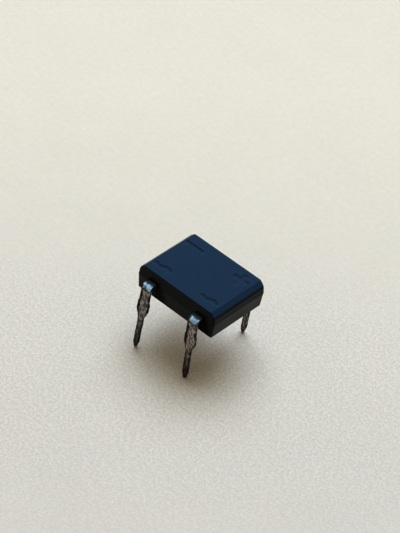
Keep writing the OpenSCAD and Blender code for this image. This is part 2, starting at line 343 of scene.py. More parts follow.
@once
def grain_group():
    """Height of a fine grain with a coarser swell under it, for Bump."""
    tree, n, given, out = group_tree(
        "Grain",
        [("Vector", "NodeSocketVector", None), ("Grain Size", "NodeSocketFloat", 0.03),
         ("Swell Size", "NodeSocketFloat", 0.5), ("Swell", "NodeSocketFloat", 0.5)],
        [("Height", "NodeSocketFloat")])
    fine = n.noise(given["Vector"], n.math("DIVIDE", 1.0, given["Grain Size"]), 3.0, 0.6)
    swell = n.noise(given["Vector"], n.math("DIVIDE", 1.0, given["Swell Size"]), 2.0, 0.5)
    height = n.math("ADD", fine, n.math("MULTIPLY", swell, given["Swell"]))
    n.put(out["Height"], height)
    return tree


@once
def speckle_group():
    """Mask of scattered round-ish specks: 1 in a speck, 0 between them."""
    tree, n, given, out = group_tree(
        "Speckle",
        [("Vector", "NodeSocketVector", None), ("Spacing", "NodeSocketFloat", 0.3),
         ("Share", "NodeSocketFloat", 0.2), ("Raggedness", "NodeSocketFloat", 0.3)],
        [("Mask", "NodeSocketFloat")])
    # The cells are bent by a noise three times as fine, which makes the specks' edges ragged
    scale = n.math("DIVIDE", 1.0, given["Spacing"])
    wobble = n.add("ShaderNodeTexNoise", {"Vector": given["Vector"],
                                          "Scale": n.math("MULTIPLY", scale, 3.0)})
    off = n.add("ShaderNodeVectorMath", {0: wobble.outputs["Color"], 1: (0.5, 0.5, 0.5)},
                operation="SUBTRACT").outputs[0]
    reach = n.math("MULTIPLY", given["Raggedness"], given["Spacing"])
    bent = n.add("ShaderNodeVectorMath", {0: off, "Scale": reach}, operation="SCALE").outputs[0]
    where = n.add("ShaderNodeVectorMath", {0: given["Vector"], 1: bent},
                  operation="ADD").outputs[0]
    cells = n.add("ShaderNodeTexVoronoi", {"Vector": where, "Scale": scale})
    # A cell holds a speck where its random colour falls below the share
    pick = n.add("ShaderNodeSeparateColor", {"Color": cells.outputs["Color"]}).outputs[0]
    radius = n.math("MULTIPLY", n.math("SUBTRACT", given["Share"], pick), 1.2)
    mask = n.math("MULTIPLY", n.math("SUBTRACT", radius, cells.outputs["Distance"]), 8.0, True)
    n.put(out["Mask"], mask)
    return tree


@once
def smear_group():
    """Soft cloudy mask of handling smears and uneven gloss, 0 to 1."""
    tree, n, given, out = group_tree(
        "Smear",
        [("Vector", "NodeSocketVector", None), ("Size", "NodeSocketFloat", 2.0),
         ("Contrast", "NodeSocketFloat", 2.0)],
        [("Mask", "NodeSocketFloat")])
    cloud = n.noise(given["Vector"], n.math("DIVIDE", 1.0, given["Size"]), 3.0, 0.45)
    centred = n.math("MULTIPLY", n.math("SUBTRACT", cloud, 0.5), given["Contrast"])
    n.put(out["Mask"], n.math("ADD", centred, 0.5, True))
    return tree


@once
def streak_group():
    """Mask of pale streaks of flux that run down a blade, never wholly clean between them."""
    tree, n, given, out = group_tree("Streaks", [("Vector", "NodeSocketVector", None)],
                                     [("Mask", "NodeSocketFloat")])
    drawn = n.add("ShaderNodeMapping", {"Vector": given["Vector"], "Scale": (1.0, 1.0, 0.45)})
    n.put(out["Mask"], n.ramp(n.noise(drawn.outputs[0], 5.5, 4.0, 0.62), 0.43, 0.60, 0.25, 1.0))
    return tree


def new_material(name):
    """A material with a Principled shader, its node makers and Object coordinates in mm."""
    material = bpy.data.materials.new(name)
    material.use_nodes = True
    material.node_tree.nodes.clear()
    n = Nodes(material.node_tree)
    shader = n.add("ShaderNodeBsdfPrincipled")
    n.add("ShaderNodeOutputMaterial", {"Surface": shader.outputs["BSDF"]})
    place = n.add("ShaderNodeTexCoord").outputs["Object"]
    where = n.add("ShaderNodeMapping", {"Vector": place, "Scale": (PER_MM,) * 3}).outputs[0]
    return material, n, shader, where


def relief(n, shader, height, depth_mm, strength):
    """Gives a shader bumps of that depth from a height."""
    bump = n.add("ShaderNodeBump", {"Height": height, "Distance": depth_mm * MM,
                                    "Strength": strength})
    n.put(shader.inputs["Normal"], bump.outputs["Normal"])


@once
def epoxy_material(epoxy, dust):
    """Filled black epoxy from a spark-eroded mould, smeared by handling and lightly dusty."""
    material, n, shader, where = new_material("Black epoxy")
    smear = n.group(smear_group(), {"Vector": where, "Size": 2.2, "Contrast": 2.4})["Mask"]
    specks = n.group(speckle_group(), {"Vector": where, "Spacing": 0.55, "Share": 0.10,
                                       "Raggedness": 0.5})["Mask"]
    paler = [min(1.0, c * 1.7) for c in epoxy]
    base = n.mix(smear, rgba(epoxy), rgba(paler))
    n.put(shader.inputs["Base Color"], n.mix(n.math("MULTIPLY", specks, 0.35), base, rgba(dust)))
    n.put(shader.inputs["Roughness"], n.ramp(smear, 0.0, 1.0, 0.28, 0.38))
    shader.inputs["Specular IOR Level"].default_value = 0.2
    grain = n.group(grain_group(), {"Vector": where, "Grain Size": 0.035, "Swell Size": 0.6,
                                    "Swell": 0.6})["Height"]
    relief(n, shader, grain, 0.004, 0.7)
    return material


@once
def tin_material(tin, darkening, flux, bend_z, stub_y, edge_x):
    """Tin plating: bright round the bend, darker close to the moulding and along one edge, and
    streaked with flux from the bend down."""
    material, n, shader, where = new_material("Tinned strip")
    axis = n.add("ShaderNodeSeparateXYZ", {"Vector": where}).outputs
    cloud = n.group(smear_group(), {"Vector": where, "Size": 0.30, "Contrast": 2.4})["Mask"]
    # Every darker part sets in over a tenth of a millimetre or so, along a line that wavers
    waver = n.math("MULTIPLY", n.math("SUBTRACT", cloud, 0.5), 0.34)
    slight = n.math("MULTIPLY", waver, 0.5)
    height = n.math("ADD", axis["Z"], waver)
    outward = n.math("ADD", n.math("ABSOLUTE", axis["Y"]), slight)
    # Darker in the burnt flux colour: below the bend, on the stub next to the moulding, and along one
    # edge of the neck
    below = n.ramp(height, bend_z + 0.08, bend_z - 0.04)
    beside = n.ramp(outward, stub_y + 0.24, stub_y + 0.10)
    along = n.ramp(n.math("ADD", axis["X"], slight), edge_x + 0.20, edge_x + 0.08)
    darkened = n.math("MAXIMUM", below, n.math("MAXIMUM", along, n.math("MULTIPLY", beside, 0.9)))
    pits = n.group(speckle_group(), {"Vector": where, "Spacing": 0.16, "Share": 0.35,
                                     "Raggedness": 0.6})["Mask"]
    plated = n.mix(cloud, rgba([c * 0.45 for c in tin]), rgba(tin))
    pitted = n.mix(n.math("MULTIPLY", pits, 0.5), plated, rgba([c * 0.3 for c in tin]))
    streaks = n.group(streak_group(), {"Vector": where})["Mask"]
    crusted = n.math("MULTIPLY", n.math("SUBTRACT", 1.0, along),
                     n.ramp(height, bend_z - 0.08, bend_z - 0.20))
    burnt = n.mix(n.math("MULTIPLY", streaks, crusted), rgba(darkening), rgba(flux))
    n.put(shader.inputs["Base Color"], n.mix(darkened, pitted, burnt))
    n.put(shader.inputs["Metallic"], n.ramp(darkened, 0.0, 1.0, 1.0, 0.0))
    rough = n.ramp(cloud, 0.0, 1.0, 0.42, 0.30)
    n.put(shader.inputs["Roughness"], n.math("ADD", rough, n.math("MULTIPLY", darkened, 0.2)))
    grain = n.group(grain_group(), {"Vector": where, "Grain Size": 0.05, "Swell Size": 0.22,
                                    "Swell": 2.5})["Height"]
    relief(n, shader, grain, 0.012, 0.6)
    return material


# What is stored on a crust's surface for its material, in the order that mark_surface makes it
SURFACE_MARKS = ("across", "bare", "scorched")


@once
def burnt_material(char, flux, solder):
    """Old solder under burnt flux: dark at the edges, partly char and partly painted shade where the
    edges curve away, with grey metal showing in the middle.
    """
    material, n, shader, where = new_material("Old solder")
    across, bare, scorched = (
        n.add("ShaderNodeAttribute", attribute_name=name).outputs["Fac"] for name in SURFACE_MARKS)
    # The pale middle ends along a blotchy line, and its streaks and flecks fade where it is scorched
    blotches = n.noise(where, 2.6, 3.0, 0.55)
    uneven = n.math("MULTIPLY", n.math("SUBTRACT", blotches, 0.5), 0.7)
    # Away from the pale middle only the char colour is left, so the dark edges are partly burnt flux
    # and partly painted shade where they curve away
    middle = n.ramp(n.math("ADD", across, uneven), 0.68, 0.46)
    streaks = n.group(streak_group(), {"Vector": where})["Mask"]
    streaked = n.math("MULTIPLY", n.math("MULTIPLY", streaks, middle),
                      n.ramp(scorched, 0.0, 1.0, 1.0, 0.1))
    flecks = n.group(speckle_group(), {"Vector": where, "Spacing": 0.26, "Share": 0.45,
                                       "Raggedness": 0.8})["Mask"]
    flecked = n.math("MULTIPLY", n.math("MULTIPLY", flecks, middle),
                     n.ramp(scorched, 1.0, 0.3, 0.1, 0.6))
    coated = n.mix(n.math("MAXIMUM", streaked, flecked), rgba(char), rgba(flux))
    # Dull solder shows in small beads: many in the bare patches, and a few between them
    beads = n.group(speckle_group(), {"Vector": where, "Spacing": 0.16, "Share": 0.60,
                                      "Raggedness": 0.9})["Mask"]
    showing = n.math("MULTIPLY", bare, middle)
    patches = n.math("MULTIPLY", n.ramp(blotches, 0.62, 0.44), showing)
    metal = n.math("MULTIPLY", beads, n.math("ADD", n.math("MULTIPLY", patches, 0.85),
                                              n.math("MULTIPLY", showing, 0.12)), True)
    n.put(shader.inputs["Base Color"], n.mix(metal, coated, rgba(solder)))
    n.put(shader.inputs["Metallic"], n.math("MULTIPLY", metal, 0.7))
    n.put(shader.inputs["Roughness"], n.ramp(metal, 0.0, 1.0, 0.55, 0.36))
    shader.inputs["Specular IOR Level"].default_value = 0.2
    grain = n.group(grain_group(), {"Vector": where, "Grain Size": 0.045, "Swell Size": 0.16,
                                    "Swell": 1.4})["Height"]
    relief(n, shader, grain, 0.03, 0.8)
    return material


SILICON_DARK, SILICON_PALE = (0.10, 0.11, 0.13), (0.17, 0.18, 0.21)
DIE_SOLDER_DARK, DIE_SOLDER_PALE = (0.36, 0.37, 0.39), (0.52, 0.53, 0.55)


@once
def silicon_material():
    """Lapped silicon, faintly clouded."""
    material, n, shader, where = new_material("Silicon")
    cloud = n.group(smear_group(), {"Vector": where, "Size": 0.4, "Contrast": 1.5})["Mask"]
    n.put(shader.inputs["Base Color"], n.mix(cloud, rgba(SILICON_DARK), rgba(SILICON_PALE)))
    n.put(shader.inputs["Roughness"], n.ramp(cloud, 0.0, 1.0, 0.18, 0.30))
    shader.inputs["Metallic"].default_value = 0.6
    grain = n.group(grain_group(), {"Vector": where, "Grain Size": 0.02, "Swell Size": 0.2,
                                    "Swell": 0.3})["Height"]
    relief(n, shader, grain, 0.002, 0.5)
    return material


@once
def die_solder_material():
    """Lead-rich die solder, grey and finely frosted."""
    material, n, shader, where = new_material("Die solder")
    cloud = n.group(smear_group(), {"Vector": where, "Size": 0.15, "Contrast": 2.0})["Mask"]
    n.put(shader.inputs["Base Color"],
          n.mix(cloud, rgba(DIE_SOLDER_DARK), rgba(DIE_SOLDER_PALE)))
    n.put(shader.inputs["Roughness"], n.ramp(cloud, 0.0, 1.0, 0.45, 0.30))
    shader.inputs["Metallic"].default_value = 1.0
    grain = n.group(grain_group(), {"Vector": where, "Grain Size": 0.03, "Swell Size": 0.1,
                                    "Swell": 0.8})["Height"]
    relief(n, shader, grain, 0.005, 0.6)
    return material


# ---- Moulding ------------------------------------------------------------------------------


def eased(line, reaches, steps=5):
    """line with each inner corner rounded over its reach on either side."""
    out = [line[0]]
    for before, corner, after, reach in zip(line, line[1:], line[2:], reaches):
        start = corner + (before - corner).normalized() * reach
        end = corner + (after - corner).normalized() * reach
        count = steps if reach else 0
        for i in range(count + 1):
            t = i / max(count, 1)
            out.append(start.lerp(corner, t).lerp(corner.lerp(end, t), t))
    return out + [line[-1]]


def wall_line(half, low, parting, high, chamfer, p):
    """Half section of the moulding, as (half width, height), from the underside to the top."""
    slope = math.tan(p.draft)
    rib = mm(p.flash)  # half height of the flash too
    edge = mm(p.edge_radius)
    foot = half - (high - chamfer - parting) * slope
    at = [Vector((0, low)), Vector((half - (parting - low) * slope, low)),
          Vector((half - rib * slope, parting - rib)), Vector((half + rib, parting)),
          Vector((half - rib * slope, parting + rib))]
    reaches = [edge, 0, 0, 0]
    if chamfer:
        # The foot of a chamfer is rounded more broadly than its top edge
        at += [Vector((foot, high - chamfer)), Vector((foot - chamfer, high))]
        reaches += [3 * edge, edge / 2]
    else:
        at.append(Vector((foot, high)))
        reaches.append(edge)
    at.append(Vector((0, high)))
    return eased(at, reaches)[1:-1]


def rounded_ring(half_x, half_y, radius, z, steps=7):
    """Points of a rounded rectangle at height z, anticlockwise from above."""
    points = []
    for quarter in range(4):
        sx = 1 if quarter in (0, 3) else -1
        sy = 1 if quarter < 2 else -1
        for i in range(steps + 1):
            a = math.radians(90) * (quarter + i / steps)
            points.append(Vector((sx * (half_x - radius) + radius * math.cos(a),
                                  sy * (half_y - radius) + radius * math.sin(a), z)))
    return points


def loft(bm, rings):
    """Closed skin through rings of equal length, from the lowest up, with flat caps."""
    made = [[bm.verts.new(point) for point in ring] for ring in rings]
    for low, high in zip(made, made[1:]):
        for i in range(len(low)):
            j = (i + 1) % len(low)
            bm.faces.new((low[i], low[j], high[j], high[i]))
    bm.faces.new(reversed(made[0]))
    bm.faces.new(made[-1])


def moulding_mesh(p, parting):
    """The moulding's skin, with one section at every height where a wall turns."""
    low, high = box_mm(BODY)
    half_x, half_y = high.x, high.y
    ends = wall_line(half_x, low.z, parting, high.z, mm(p.end_chamfer), p)
    sides = wall_line(half_y, low.z, parting, high.z, 0, p)
    heights = sorted({round(v.y, 6) for v in ends + sides})
    slope = math.tan(p.draft)
    rings = []
    for z in heights:
        x = float(np.interp(z, [v.y for v in ends], [v.x for v in ends]))
        y = float(np.interp(z, [v.y for v in sides], [v.x for v in sides]))
        depth = parting - low.z - abs(z - parting)
        wall = half_y - abs(z - parting) * slope
        radius = mm(p.corner_radius) + max(depth, 0) * slope - max(wall - y, 0)
        rings.append(rounded_ring(x, y, radius, z))
    bm = bmesh.new()
    loft(bm, rings)
    return mesh_from(bm, "moulding")


def sine_line(span, swing, steps=28):
    """Points of one full sine wave along X, with its middle at the origin."""
    return [Vector((span * (i / steps - 0.5), swing * math.sin(2 * math.pi * i / steps)))
            for i in range(steps + 1)]


def band(line, width, cap_steps=6):
    """Outline of a stroke of that width along a line, with round ends."""
    sides = []
    for i, point in enumerate(line):
        along = (line[min(i + 1, len(line) - 1)] - line[max(i - 1, 0)]).normalized()
        sides.append((point, Vector((-along.y, along.x)) * width / 2))
    left = [point + off for point, off in sides]
    right = [point - off for point, off in sides]
    ends = []
    for point, off in (sides[-1], (sides[0][0], -sides[0][1])):
        turns = [-math.pi * i / cap_steps for i in range(1, cap_steps)]
        ends.append([point + Matrix.Rotation(t, 2) @ off for t in turns])
    return left + ends[0] + right[::-1] + ends[1]


def bar(length_x, length_y):
    """Outline of a bar whose corners are barely rounded."""
    corner = min(length_x, length_y) / 6
    ring = rounded_ring(length_x / 2, length_y / 2, corner, 0, steps=3)
    return [Vector((point.x, point.y)) for point in ring]


def plus(span, width):
    """Outline of a plus sign, as one polygon, anticlockwise."""
    a, b = span / 2, width / 2
    quarter = [Vector((a, -b)), Vector((a, b)), Vector((b, b))]
    return [Matrix.Rotation(math.pi / 2 * k, 2) @ v for k in range(4) for v in quarter]


MINUS_STRETCH = 1.25  # how much longer the minus is than the other signs
TILDE_FLATNESS = 11  # length of a tilde over the height of its wave
# Section of a sign's cutter, in depths of the sign: how far out, and how far down
LIP = ((0.0, 1.0), (0.7, 0.75), (1.5, 0.38), (2.2, 0.12), (2.9, 0.02), (3.2, -0.5))


def sink(bm, outline, top, depth):
    """A cutter for a recess with a flat floor, sloping walls and a rounded lip."""
    area = sum(a.cross(b) for a, b in zip(outline, outline[1:] + outline[:1]))
    ring = outline if area > 0 else outline[::-1]
    outward = []
    for i in range(len(ring)):
        along = (ring[(i + 1) % len(ring)] - ring[i - 1]).normalized()
        outward.append(Vector((along.y, -along.x)))
    loft(bm, [[Vector((*(point + side * out * depth), top - down * depth))
               for point, side in zip(ring, outward)] for out, down in LIP])


def sign_cutters(p, top):
    """Cutters for the four polarity signs: two tildes in front, a minus and a plus behind."""
    half_pitch = mm(p.sign_pitch) / 2
    span, stroke = mm(p.sign_length), mm(p.sign_stroke)
    side = box_mm(BODY)[1].y
    front, back = mm(p.tilde_inset) - side, side - mm(p.sign_inset)
    tilde = band(sine_line(span, -span / TILDE_FLATNESS), stroke)
    signs = [(tilde, -half_pitch, front), (tilde, half_pitch, front),
             (bar(span * MINUS_STRETCH, stroke), -half_pitch, back),
             (plus(span, stroke), half_pitch, back)]
    bm = bmesh.new()
    for outline, x, y in signs:
        sink(bm, [point + Vector((x, y)) for point in outline], top, mm(p.sign_depth))
    return mesh_from(bm, "signs")


def pin_cutters(p, underside):
    """Cutters for the two ejector pin marks underneath."""
    bm = bmesh.new()
    depth = mm(p.pin_mark_depth)
    for side in (-1, 1):
        place = Matrix.Translation((side * mm(p.pin_mark_pitch) / 2, 0, underside))
        bmesh.ops.create_cone(bm, cap_ends=True, segments=48, radius1=mm(p.pin_mark) / 2,
                              radius2=mm(p.pin_mark) / 2, depth=2 * depth, matrix=place)
    return mesh_from(bm, "pin_marks")


def cut(piece, cutters):
    """Cuts every cutter out of the piece, and removes them."""
    group = bpy.data.collections.new("Cutters")
    bpy.context.scene.collection.children.link(group)
    for mesh in cutters:
        group.objects.link(bpy.data.objects.new(mesh.name, mesh))
    boolean = piece.modifiers.new("Cut", "BOOLEAN")
    boolean.operation = "DIFFERENCE"
    boolean.solver = "EXACT"
    boolean.operand_type = "COLLECTION"
    boolean.collection = group
    apply_modifiers(piece)
    for made in list(group.objects):
        bpy.data.objects.remove(made)
    bpy.data.collections.remove(group)
    for mesh in cutters:
        bpy.data.meshes.remove(mesh)


class RECTIFIER_OT_moulding(Operator):
    """Makes the epoxy moulding, with its polarity signs, pin marks and pockets for the leads"""
    bl_idname = "rectifier.moulding"
    bl_label = "Moulding"

    def execute(self, context):
        p = context.scene.rectifier_moulding
        low, high = box_mm(BODY)
        stub_top = box_mm("ac_lead_1")[1].z
        parting = stub_top - mm(context.scene.rectifier_leads.strip) / 2
        piece = new_object("epoxy_moulding", moulding_mesh(p, parting))
        inside = [node_mesh(node) for node in (*LEADS, *DICE, *DIE_SOLDER)]
        cut(piece, [sign_cutters(p, high.z), pin_cutters(p, low.z), *inside])
        smooth_by_angle(piece, 30)
        settle(piece, epoxy_material(p.epoxy, p.dust), "epoxy", BODY)
        return {"FINISHED"}


# ---- Leads ---------------------------------------------------------------------------------


class RECTIFIER_OT_leads(Operator):
    """Makes the four tinned leads, each one strip from its pad to its tip, with rolled edges"""
    bl_idname = "rectifier.leads"
    bl_label = "Leads"

    def execute(self, context):
        p = context.scene.rectifier_leads
        flux = context.scene.rectifier_old_solder.flux
        stub_y = box_mm(BODY)[1].y + mm(p.stub)
        for lead, (crust, _, _) in LEADS.items():
            piece = new_object(f"{lead}_strip", node_mesh(lead))
            bevel = piece.modifiers.new("Rolled edges", "BEVEL")
            bevel.width = mm(p.edge_radius)
            bevel.segments = 3
            bevel.limit_method = "ANGLE"
            bevel.angle_limit = math.radians(50)
            bevel.use_clamp_overlap = False
            apply_modifiers(piece)
            smooth_by_angle(piece, 40)
            bend_z = box_mm(lead)[1].z - mm(p.strip + p.bend_radius)
            crust_low, crust_high = box_mm(crust)
            edge_x = (crust_low.x + crust_high.x - mm(p.neck)) / 2
            material = tin_material(p.tin, p.darkening, flux, bend_z, stub_y, edge_x)
            settle(piece, material, "tinned_copper", lead)
        return {"FINISHED"}


# ---- Old solder ----------------------------------------------------------------------------


def blade_between(lead, low, high):
    """The part of a lead's blade between two heights, closed at both cuts."""
    bm = bmesh.new()
    mesh = node_mesh(lead)
    bm.from_mesh(mesh)
    bpy.data.meshes.remove(mesh)
    for z, up in ((low, -1), (high, 1)):
        geometry = bm.verts[:] + bm.edges[:] + bm.faces[:]
        bmesh.ops.bisect_plane(bm, geom=geometry, plane_co=(0, 0, z), plane_no=(0, 0, up),
                               clear_outer=True)
        rim = [edge for edge in bm.edges if edge.is_boundary]
        bmesh.ops.holes_fill(bm, edges=rim)
    return mesh_from(bm, f"{lead}_blade")


def crust_tree():
    """Geometry Nodes: a lumpy coat over a blade, thin at both ends, with solder beads on it."""
    tree = bpy.data.node_groups.new("Old solder crust", "GeometryNodeTree")
    sockets = [("Blade", "NodeSocketGeometry"), ("Coat", "NodeSocketFloat"),
               ("Thinnest", "NodeSocketFloat"), ("Lower Taper", "NodeSocketFloat"),
               ("Upper Taper", "NodeSocketFloat"), ("Lump Height", "NodeSocketFloat"),
               ("Lump Size", "NodeSocketFloat"), ("Bead Size", "NodeSocketFloat"),
               ("Bead Density", "NodeSocketFloat"), ("Seed", "NodeSocketInt"),
               ("Material", "NodeSocketMaterial")]
    for name, kind in sockets:
        tree.interface.new_socket(name, in_out="INPUT", socket_type=kind)
    tree.interface.new_socket("Crust", in_out="OUTPUT", socket_type="NodeSocketGeometry")
    n = Nodes(tree)
    given = n.add("NodeGroupInput").outputs
    place = n.add("GeometryNodeInputPosition").outputs[0]
    normal = n.add("GeometryNodeInputNormal").outputs[0]
    height = n.add("ShaderNodeSeparateXYZ", {0: place}).outputs["Z"]
    box = n.add("GeometryNodeBoundBox", {"Geometry": given["Blade"]})
    low = n.add("ShaderNodeSeparateXYZ", {0: box.outputs["Min"]}).outputs["Z"]
    high = n.add("ShaderNodeSeparateXYZ", {0: box.outputs["Max"]}).outputs["Z"]
    # 0 at both ends of the coat, and 1 past the tapers
    from_low = n.math("DIVIDE", n.math("SUBTRACT", height, low), given["Lower Taper"])
    from_high = n.math("DIVIDE", n.math("SUBTRACT", high, height), given["Upper Taper"])
    ends = n.math("MINIMUM", n.math("MINIMUM", from_low, from_high), 1.0)
    seeded = n.add("ShaderNodeVectorMath", {0: place, 1: n.add(
        "ShaderNodeCombineXYZ", {"X": given["Seed"], "Y": 0.0, "Z": 0.0}).outputs[0]},
        operation="ADD").outputs[0]
    # Fine lumps are 3.4 times as fine as the broad ones, and 0.6 of their height
    scale = n.math("DIVIDE", 1.0, given["Lump Size"])
    broad = n.math("SUBTRACT", n.noise(seeded, scale, 1.5), 0.5)
    fine = n.math("SUBTRACT", n.noise(seeded, n.math("MULTIPLY", scale, 3.4), 2.0), 0.5)
    lumps = n.math("MULTIPLY", n.math("ADD", broad, n.math("MULTIPLY", fine, 0.6)),
                   n.math("MULTIPLY", given["Lump Height"], 2.0))
    thickness = n.math("MULTIPLY", n.math("ADD", given["Coat"], lumps), ends)
    kept = n.math("MAXIMUM", thickness, given["Thinnest"])
    offset = n.add("ShaderNodeVectorMath", {0: normal, "Scale": kept}, operation="SCALE").outputs[0]
    coat = n.add("GeometryNodeSetPosition", {"Geometry": given["Blade"], "Offset": offset})
    points = n.add("GeometryNodeDistributePointsOnFaces",
                   {"Mesh": coat.outputs[0], "Density": given["Bead Density"],
                    "Seed": given["Seed"]})
    size = n.add("FunctionNodeRandomValue", data_type="FLOAT")
    for socket in size.inputs:
        if socket.enabled and socket.name in ("Min", "Max"):
            socket.default_value = {"Min": 0.3, "Max": 1.0}[socket.name]
    n.put(next(s for s in size.inputs if s.name == "Seed"), given["Seed"])
    scaled = next(s for s in size.outputs if s.enabled)
    bead = n.add("GeometryNodeMeshIcoSphere", {"Radius": given["Bead Size"], "Subdivisions": 2})
    beads = n.add("GeometryNodeInstanceOnPoints",
                  {"Points": points.outputs["Points"], "Instance": bead.outputs["Mesh"],
                   "Scale": scaled})
    joined = n.add("GeometryNodeJoinGeometry")
    for source in (beads.outputs[0], coat.outputs[0]):
        tree.links.new(source, joined.inputs[0])
    real = n.add("GeometryNodeRealizeInstances", {"Geometry": joined.outputs[0]})
    painted = n.add("GeometryNodeSetMaterial", {"Geometry": real.outputs[0],
                                                "Material": given["Material"]})
    n.put(n.add("NodeGroupOutput").inputs["Crust"], painted.outputs[0])
    return tree


def set_inputs(modifier, values):
    """Sets a Geometry Nodes modifier's inputs by their sockets' identifiers."""
    for item in modifier.node_group.interface.items_tree:
        if item.in_out == "INPUT" and item.name in values:
            modifier[item.identifier] = values[item.name]


def voxel_remesh(piece, size):
    """Makes whatever shells a piece has into one closed skin."""
    remesh = piece.modifiers.new("One skin", "REMESH")
    remesh.mode = "VOXEL"
    remesh.voxel_size = size
    remesh.use_smooth_shade = True
    apply_modifiers(piece)


def weld(piece):
    """Joins vertices of a piece that all but coincide, so that no face folds flat on itself."""
    bm = bmesh.new()
    bm.from_mesh(piece.data)
    bmesh.ops.remove_doubles(bm, verts=bm.verts, dist=WELD)
    bm.to_mesh(piece.data)
    bm.free()


def section_at(points, z, window):
    """Middle and half size, across x and y, of the blade's points near height z."""
    near = points[np.abs(points[:, 2] - z) < window]
    low, high = near[:, :2].min(0), near[:, :2].max(0)
    return (low + high) / 2, (high - low) / 2


SECTIONS = 60  # sections of a blade that are measured
PALE_SHIFT = 0.2  # how far towards +X the pale part of a blade lies, in half widths
FALL_BELOW, FALL_ABOVE = 1.1, 1.5  # millimetres from the shoulder over which bare solder fades
LEAST_BARE = 0.12  # bare solder that shows even far from the shoulder


def mark_surface(piece, bare_amount, scorch_top):
    """Stores across, 0 where a blade is palest and 1 at its far edge, bare, how much dull solder
    shows: most on the shoulder, little on the tail, and scorched, 1 at the tip and 0 from the
    height scorch_top up."""
    mesh = piece.data
    points = np.array([v.co for v in mesh.vertices])
    low, high = points[:, 2].min(), points[:, 2].max()
    heights = np.linspace(low, high, SECTIONS)
    window = (high - low) / 50
    found = [section_at(points, z, window) for z in heights]
    middle = np.interp(points[:, 2], heights, [m[0] for m, _ in found])
    half = np.interp(points[:, 2], heights, [h[0] for _, h in found])
    aside = (points[:, 0] - middle) / half
    # across darkens a blade's edges: partly burnt flux, partly painted shade where the edges curve
    # away
    across = np.clip(np.abs(aside - PALE_SHIFT) / (1 + PALE_SHIFT), 0, 1)
    shoulder = heights[int(np.argmax([h[0] for _, h in found]))]
    fall = np.where(points[:, 2] < shoulder, FALL_BELOW, FALL_ABOVE)
    bare = bare_amount * np.exp(-((points[:, 2] - shoulder) / fall) ** 2)
    scorched = (scorch_top - points[:, 2]) / (scorch_top - low)
    stored = (across, np.clip(bare + LEAST_BARE, 0, 1), np.clip(scorched, 0, 1))
    for name, values in zip(SURFACE_MARKS, stored):
        attribute = mesh.attributes.new(name, "FLOAT", "POINT")
        attribute.data.foreach_set("value", values.astype(np.float32))


class RECTIFIER_OT_old_solder(Operator):
    """Makes the lumpy crust of old solder and burnt flux on each blade"""
    bl_idname = "rectifier.old_solder"
    bl_label = "Old Solder"

    def execute(self, context):
        p = context.scene.rectifier_old_solder
        material = burnt_material(p.char, p.flux, p.solder)
        tree = crust_tree()
        for number, (lead, (crust, bare_amount, scorch_top)) in enumerate(LEADS.items()):
            low, high = box_mm(crust)
            piece = new_object(f"{crust}_crust", blade_between(lead, low.z, high.z))
            # The bare blade takes coarser cells, which round its edges off
            voxel_remesh(piece, 1.5 * mm(p.voxel))
            lumpy = piece.modifiers.new("Old solder crust", "NODES")
            lumpy.node_group = tree
            set_inputs(lumpy, {"Coat": mm(p.coat), "Thinnest": mm(p.thinnest),
                               "Lower Taper": mm(p.lower_taper), "Upper Taper": mm(p.upper_taper),
                               "Lump Height": mm(p.lump_height), "Lump Size": mm(p.lump_size),
                               "Bead Size": mm(p.bead_size), "Bead Density": p.bead_density,
                               "Seed": p.seed + number, "Material": material})
            apply_modifiers(piece)
            voxel_remesh(piece, mm(p.voxel))
            weld(piece)
            mark_surface(piece, bare_amount, scorch_top)
            settle(piece, material, "burnt_solder", crust)
        return {"FINISHED"}


# ---- Dice ----------------------------------------------------------------------------------


class RECTIFIER_OT_dice(Operator):
    """Gives the four dice and their solder, sealed in the moulding, their finish"""
    bl_idname = "rectifier.dice"
    bl_label = "Dice"

    def execute(self, context):
        finishes = [(DICE, silicon_material(), "silicon"),
                    (DIE_SOLDER, die_solder_material(), "die_solder")]
        for nodes, material, slot in finishes:
            for node in nodes:
                piece = frame["nodes"][node]
                piece.data.materials.clear()
                piece.data.materials.append(material)
        return {"FINISHED"}


# ---- Stage ---------------------------------------------------------------------------------


FAR_LEFT = (-0.68, 0.73, 0.0)  # direction across the floor in which the painted light on the card grows brighter
PAINTED_SHADE_SHARE = (0.87, 0.875, 0.93)  # of the card's red, green and blue, where the painted shade on it is deepest
FLECK_CONTRAST = 0.17  # where the flecks are strongest


